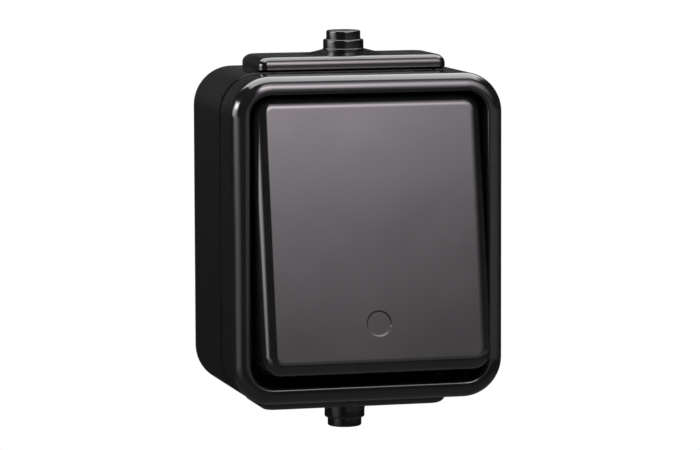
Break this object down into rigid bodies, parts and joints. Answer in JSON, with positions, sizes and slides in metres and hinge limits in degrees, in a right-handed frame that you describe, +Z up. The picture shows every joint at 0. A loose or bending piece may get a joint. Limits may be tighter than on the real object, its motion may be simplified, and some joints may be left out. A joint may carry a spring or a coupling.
{
  "type": "outdoor weatherproof switch",
  "caption": "Surface-mounted weatherproof rocker switch: rounded black housing with a raised rim, a large tilting rocker plate and stepped cable entries at top and bottom.",
  "frame": {"origin": "centre of the back face, on the wall", "axes": "+X to the right seen from the front, +Y into the wall, +Z up; the rocker faces -Y"},
  "size_m": [0.066, 0.0522, 0.0958],
  "materials": {
    "housing_plastic": "moulded gloss black",
    "entry_rubber": "moulded soft black, satin",
    "seal_rubber": "moulded black rubber",
    "mechanism_plastic": "moulded light grey",
    "moving_plastic": "moulded white, low friction",
    "terminal_brass": "stamped brass",
    "contact_metal": "silver alloy rivets",
    "screw_steel": "zinc plated steel",
    "spring_steel": "drawn spring wire"
  },
  "bodies": {
    "housing": {"back_box": "housing_plastic", "cover_frame": "housing_plastic", "upper_cable_entry": "entry_rubber", "lower_cable_entry": "entry_rubber", "housing_gasket": "seal_rubber", "cover_screws": "screw_steel", "mechanism_base": "mechanism_plastic", "mechanism_holder": "mechanism_plastic", "mechanism_seal": "seal_rubber", "mechanism_screws": "screw_steel", "common_terminal": "terminal_brass", "upper_terminal": "terminal_brass", "lower_terminal": "terminal_brass", "terminal_screws": "screw_steel", "fixed_contacts": "contact_metal"},
    "rocker": {"rocker_plate": "housing_plastic", "rocker_cradle": "moving_plastic", "plunger_spring": "spring_steel"},
    "plunger": {"plunger": "moving_plastic"},
    "contact_seesaw": {"contact_rocker": "terminal_brass", "moving_contacts": "contact_metal"}
  },
  "joints": [
    {"name": "rocker_tilt", "type": "hinge", "parent": "housing", "child": "rocker", "pos_m": [0, -0.0358, 0], "axis": [1, 0, 0], "range_deg": [0, 19.6]},
    {"name": "plunger_travel", "type": "slide", "parent": "rocker", "child": "plunger", "axis": [0, -0.9854, 0.1702], "range_m": [0, 0.0008], "stiffness_N_per_m": 300, "springref_m": -0.003, "deforming": ["plunger_spring"]},
    {"name": "contact_tilt", "type": "hinge", "parent": "housing", "child": "contact_seesaw", "pos_m": [0, -0.0195, 0], "axis": [1, 0, 0], "range_deg": [-16, 0]}
  ],
  "couplings": [
    {"joint": "contact_tilt", "follows": "rocker_tilt", "ratio": -0.8163}
  ]
}
